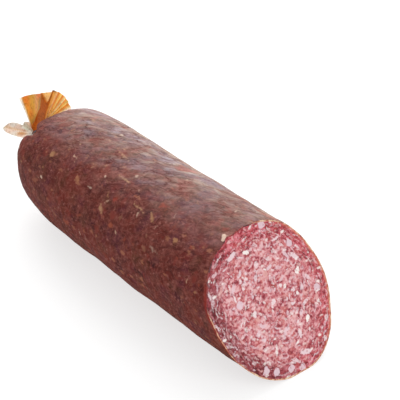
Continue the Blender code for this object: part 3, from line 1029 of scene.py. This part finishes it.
def rind_material():
    s = Shade("rind")
    bent = s.place(warp_size=5 * MM, warp=4 * MM)
    base = s.ramp(s.noise(19 * MM, 2.0), (
        (0.34, rgb(88, 42, 38)), (0.46, rgb(95, 39, 34)), (0.57, rgb(105, 39, 33)), (0.68, rgb(96, 44, 32)),
    ))
    purple = s.ease(0.50, 0.66, s.noise(9 * MM, 2.0, at=s.place((0.5, 0.5, 0))))
    base = s.mix(s.math("MULTIPLY", purple, 0.60), base, rgb(92, 42, 54))
    olive = s.ease(0.52, 0.68, s.noise(10 * MM, 2.0, at=s.place((0.9, 0.2, 0.4))))
    base = s.mix(s.math("MULTIPLY", olive, 0.55), base, rgb(84, 50, 34))
    base = s.mix(s.math("MULTIPLY", s.ease(0.47, 0.74, s.noise(5.0 * MM, 2.0, 0.5, at=bent)), 0.80),
                 base, rgb(120, 58, 50))
    base = s.mix(s.ease(0.46, 0.22, s.noise(6.0 * MM, 2.0, 0.5, at=s.place((0.2, 0, 0)))), base, rgb(68, 28, 30))
    net = s.math("ABSOLUTE", s.math("SUBTRACT", s.noise(2.9 * MM, 2.0, 0.5, at=bent), 0.5))
    base = s.mix(s.math("MULTIPLY", s.ease(0.055, 0.0, net), 0.5), base, rgb(140, 82, 72))
    grain = s.noise(1.9 * MM, 2.0, 0.5, at=s.place(stretch=(0.8, 1, 1), warp_size=2 * MM, warp=1 * MM))
    base = s.mix(s.math("MULTIPLY", s.ease(0.52, 0.74, grain), 0.65), base, rgb(140, 82, 76))
    base = s.mix(s.math("MULTIPLY", s.ease(0.46, 0.26, grain), 0.45), base, rgb(66, 26, 26))

    # wrinkles drawn out one way: fine creases with painted shade in them, and ridges between them with painted
    # highlights
    drawn = s.place(warp_size=7 * MM, warp=4 * MM, turn=-STREAK_TURN, stretch=(0.30, 1, 1))
    crease = s.math("ABSOLUTE", s.math("SUBTRACT", s.noise(3.8 * MM, 2.0, 0.5, at=drawn), 0.5))
    crease = s.math("MULTIPLY", s.ease(0.050, 0.0, crease), s.ease(0.25, 0.75, s.number("patchy")))
    beside = s.place((0.3, 0.6, 0.2), warp_size=6 * MM, warp=5 * MM, turn=-STREAK_TURN, stretch=(0.42, 1, 1))
    ridged = s.ease(0.38, 0.70, s.noise(3.6 * MM, 2.0, 0.5, at=beside))
    # painted shade in the creases, painted highlight on the ridges
    base = s.mix(s.math("MULTIPLY", crease, 0.30), base, rgb(60, 26, 22))
    base = s.mix(s.math("MULTIPLY", ridged, 0.25), base, rgb(136, 80, 70))

    brick = s.place((0.4, 0.3, 0.1), warp_size=3 * MM, warp=5 * MM)
    base = s.spots(base, 8 * MM, 0.45, 0.36, rgb(130, 56, 48), 0.50, brick)
    ochre = s.place((0.7, 0.1, 0.5), (0.6, 1, 1), warp_size=2 * MM, warp=3.0 * MM)
    base = s.spots(base, 4.6 * MM, 0.66, 0.27, rgb(164, 106, 80), 0.60, ochre)
    crumbs = s.place((0.2, 0.6, 0.9), warp_size=1 * MM, warp=1.4 * MM)
    base = s.spots(base, 2.6 * MM, 0.60, 0.32, rgb(152, 96, 88), 0.60, crumbs)

    speck_colour = s.ramp(s.number("tone"), (
        (0.0, rgb(140, 60, 50)), (0.25, rgb(146, 74, 56)), (0.5, rgb(152, 92, 70)),
        (0.75, rgb(162, 116, 84)), (0.9, rgb(186, 142, 116)), (1.0, rgb(226, 196, 176)),
    ))
    fray = s.math("SUBTRACT", s.noise(1.5 * MM, 3.0, 0.5), 0.5)
    speck = s.ease(-0.40, 0.70, s.math("MULTIPLY_ADD", fray, 2.8, s.number("speck")))
    # painted shadow: each speck darker along one edge
    lower = s.ease(0.1, 1.0, s.number("side"))
    speck_colour = s.mix(s.math("MULTIPLY", lower, 0.65), speck_colour, rgb(110, 50, 40))
    colour = s.mix(s.math("MULTIPLY", speck, s.number("strength")), base, speck_colour)
    colour = s.mix(s.math("MULTIPLY", s.number("glow"), 0.7), colour, rgb(156, 50, 42))
    # painted shade: darker and warmer toward the underside
    colour = s.mix(s.math("MULTIPLY", s.number("low"), 0.8), colour, rgb(212, 146, 84), "MULTIPLY")
    # painted sheen over the top and its far edge, partly a real dusty bloom: more on the ridges, less in the creases
    dust_and_painted_sheen = s.math("MULTIPLY_ADD", ridged, 0.24, 0.21)
    dust_and_painted_sheen = s.math("MULTIPLY", dust_and_painted_sheen, s.math("MULTIPLY_ADD", crease, -0.55, 1.0))
    dust_and_painted_sheen = s.math("MULTIPLY_ADD", dust_and_painted_sheen, s.number("bloom_and_painted_sheen"), 0.015)
    dust_and_painted_sheen = s.math("MULTIPLY_ADD", s.number("painted_edge_sheen"), 0.15, dust_and_painted_sheen)
    dust_and_sheen_tint = s.ramp(s.noise(7.0 * MM, 2.0, 0.5, at=beside), (
        (0.36, rgb(170, 160, 166)), (0.47, rgb(184, 168, 164)), (0.56, rgb(184, 169, 157)), (0.68, rgb(198, 150, 140)),
    ))
    dust_and_sheen_colour = s.mix(s.math("MULTIPLY", s.number("painted_edge_sheen"), 0.7), dust_and_sheen_tint, rgb(194, 170, 148))
    colour = s.mix(dust_and_painted_sheen, colour, dust_and_sheen_colour)
    # pleat ridges near the neck: paler gathered casing and painted highlight
    colour = s.mix(s.math("MULTIPLY", s.number("ridge"), 0.5), colour, rgb(176, 142, 118))
    s.put(s.shader.inputs["Base Color"], colour)
    s.put(s.shader.inputs["Roughness"], s.math("MULTIPLY_ADD", s.noise(2.0 * MM, 3.0), 0.30, 0.45))
    s.shader.inputs["Specular IOR Level"].default_value = 0.02
    height = s.math("MULTIPLY_ADD", ridged, 0.5, s.noise(2.0 * MM, 2.0, 0.5, at=bent))
    height = s.math("MULTIPLY_ADD", crease, -0.6, height)
    height = s.math("MULTIPLY_ADD", s.number("speck"), 0.05, height)
    s.bump(height, 0.34 * MM, 1.0)
    return s.material


def edge_material():
    """Cut edge of the casing: dark red above the cut on one side, tan and orange elsewhere."""
    s = Shade("casing_edge")
    tan = s.ramp(s.noise(2.2 * MM, 3.0, 0.6), (
        (0.34, rgb(150, 66, 52)), (0.46, rgb(200, 128, 96)), (0.62, rgb(232, 202, 170)),
    ))
    red = s.ramp(s.noise(1.8 * MM, 2.0), ((0.40, rgb(84, 26, 28)), (0.60, rgb(150, 50, 46))))
    colour = s.mix(s.number("red_side"), tan, red)
    s.put(s.shader.inputs["Base Color"], colour)
    s.put(s.shader.inputs["Roughness"], s.math("MULTIPLY_ADD", s.noise(0.8 * MM, 2.0), 0.3, 0.25))
    s.bump(s.noise(0.5 * MM, 2.0), 0.08 * MM, 0.6)
    return s.material


def casing_material(name, light_through, gloss):
    """Thin casing that lets some light through. Its dye is stored at the vertices."""
    s = Shade(name)
    dye = s.colour("dye")
    fibre = s.noise(0.9 * MM, 4.0, 0.6, at=s.place(stretch=(1, 1, 0.5), warp_size=3 * MM, warp=2 * MM))
    shade = s.ramp(fibre, ((0.30, (0.72, 0.66, 0.60)), (0.52, (1, 1, 1)), (0.75, (1.0, 0.99, 0.95))))
    colour = s.mix(1.0, dye, shade, "MULTIPLY")
    s.put(s.shader.inputs["Base Color"], colour)
    s.put(s.shader.inputs["Roughness"], s.math("MULTIPLY_ADD", s.noise(1.5 * MM, 2.0), 0.25, gloss))
    s.bump(fibre, 0.10 * MM, 0.8)
    through = s.tree.nodes.new("ShaderNodeBsdfTranslucent")
    s.put(through.inputs["Color"], colour)
    both = s.tree.nodes.new("ShaderNodeMixShader")
    both.inputs["Fac"].default_value = light_through
    s.put(both.inputs[1], s.shader.outputs[0])
    s.put(both.inputs[2], through.outputs[0])
    s.put(s.tree.nodes["Material Output"].inputs["Surface"], both.outputs[0])
    return s.material


def clip_material():
    s = Shade("clip_metal")
    s.shader.inputs["Metallic"].default_value = 1.0
    s.put(s.shader.inputs["Base Color"], s.ramp(s.noise(0.9 * MM, 3.0, 0.6), (
        (0.3, rgb(90, 84, 94)), (0.55, rgb(128, 120, 130)), (0.75, rgb(160, 154, 160)),
    )))
    s.put(s.shader.inputs["Roughness"], s.math("MULTIPLY_ADD", s.noise(0.4 * MM, 2.0), 0.3, 0.22))
    s.bump(s.noise(0.35 * MM, 3.0, 0.6, at=s.place(stretch=(3, 1, 1))), 0.05 * MM, 0.7)
    return s.material


# ---- studio ------------------------------------------------------------------------------------
def make_camera(cut_middle):
    """The photograph's camera. A view 0 looks along +Y, and the azimuth turns it round the part."""
    right = Vector((math.cos(AZIMUTH), math.sin(AZIMUTH), 0))
    level = Vector((-math.sin(AZIMUTH), math.cos(AZIMUTH), 0))
    look = level * math.cos(ELEVATION) - Vector((0, 0, math.sin(ELEVATION)))
    up = level * math.sin(ELEVATION) + Vector((0, 0, math.cos(ELEVATION)))
    data = bpy.data.cameras.new("camera")
    data.lens = LENS
    data.clip_start = 0.01
    camera = bpy.data.objects.new("camera", data)
    bpy.context.scene.collection.objects.link(camera)
    turn = Matrix((right, up, -look)).transposed().to_4x4()
    place = cut_middle - right * CUT_RIGHT + up * CUT_BELOW - look * DISTANCE
    camera.matrix_world = Matrix.Translation(place) @ turn
    bpy.context.scene.camera = camera


def make_area(name, toward, distance, size, radiance, target):
    """A round lamp seen from the target in the given direction, with an even radiance over its face."""
    data = bpy.data.lights.new(name, "AREA")
    data.shape = "DISK"
    data.size = size
    data.energy = radiance * math.pi * math.pi * size * size / 4
    lamp = bpy.data.objects.new(name, data)
    bpy.context.scene.collection.objects.link(lamp)
    lamp.location = target + toward.normalized() * distance
    lamp.rotation_mode = "QUATERNION"
    lamp.rotation_quaternion = (target - lamp.location).to_track_quat("-Z", "Y")
    return lamp


def make_studio():
    """Pale floor, even white surroundings and one broad soft lamp above and behind."""
    half = 1.5
    floor = new_mesh("floor", [(-half, -half, 0), (half, -half, 0), (half, half, 0), (-half, half, 0)],
                     [(0, 1, 2, 3)])
    s = Shade("floor")
    s.shader.inputs["Base Color"].default_value = (0.36, 0.36, 0.36, 1)
    s.shader.inputs["Roughness"].default_value = 0.9
    s.shader.inputs["Specular IOR Level"].default_value = 0.1
    s.shader.inputs["Emission Color"].default_value = (1, 1, 1, 1)
    s.shader.inputs["Emission Strength"].default_value = 0.69
    floor.data.materials.append(s.material)
    world = bpy.data.worlds.new("studio")
    world.use_nodes = True
    world.node_tree.nodes["Background"].inputs["Color"].default_value = (1, 1, 1, 1)
    world.node_tree.nodes["Background"].inputs["Strength"].default_value = 0.68
    bpy.context.scene.world = world
    middle = Vector((0, 0, 0.03))
    make_area("softbox", Vector((-0.645, 0.50, 0.50)), 1.1, 1.3, 3.8, middle)
    make_area("fill", Vector((0.85, 0.05, 0.60)), 1.2, 0.9, 1.6, middle)
    bpy.context.scene.view_settings.view_transform = "Standard"


def axis_frame_offset():
    """Where the CAD part's axis frame lies in the shared frame, from the sausage node's own box."""
    low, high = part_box("sausage")
    lowest_x = FLAT_HEIGHT * math.tan(CUT_LEAN)
    angle = np.linspace(0, 2 * math.pi, 721)
    radius = np.full_like(angle, RADIUS)
    widest = max(skin_point(np.full_like(angle, x), angle, radius)[:, 1].max() for x in (0.0, lowest_x))
    return np.array((high.x - lowest_x, high.y - widest, low.z + FLAT_HEIGHT))


def paint_rim(rind, first_skin_point, material, offset):
    """Give the casing's cut edge its own material, with the share of red round the edge."""
    rind.data.materials.append(material)
    points = np.empty(len(rind.data.vertices) * 3)
    rind.data.vertices.foreach_get("co", points)
    local = points.reshape(-1, 3) - offset
    direction = np.degrees(np.arctan2(local @ CUT_UP, local @ CUT_SIDE))
    red = ease(70, 90, direction) * ease(178, 160, direction)
    red = ease(0.0, 1.0, red)
    add_number(rind, "red_side", red)
    for face in rind.data.polygons:
        if min(face.vertices) < first_skin_point:
            face.material_index = 1


def main():
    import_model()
    offset = axis_frame_offset()
    make_camera(Vector(offset))
    make_studio()
    rind, first_skin_point, skin_edge = make_rind(offset)
    rind.data.materials.append(rind_material())
    paint_rim(rind, first_skin_point, edge_material(), offset)
    meat = make_meat(offset, Outline(skin_edge))
    meat.data.materials.append(meat_material())
    for piece in (meat, rind):
        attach(piece, "root")
        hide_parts("sausage")
    fan = make_fan(offset)
    fan.data.materials.append(casing_material("orange_casing", 0.60, 0.25))
    flap = make_flap(offset)
    flap.data.materials.append(casing_material("pale_casing", 0.60, 0.35))
    clip = make_clip(offset)
    clip.data.materials.append(clip_material())
    for piece, node, slot in ((fan, "casing_tail", "orange_casing"), (flap, "casing_flap", "pale_casing"),
                              (clip, "clip", "clip_metal")):
        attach(piece, "root")
        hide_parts(node)
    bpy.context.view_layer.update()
    for piece in bpy.data.objects:
        if piece.type == "MESH":
            print("TRIS", piece.name, sum(len(p.vertices) - 2 for p in piece.data.polygons))


main()
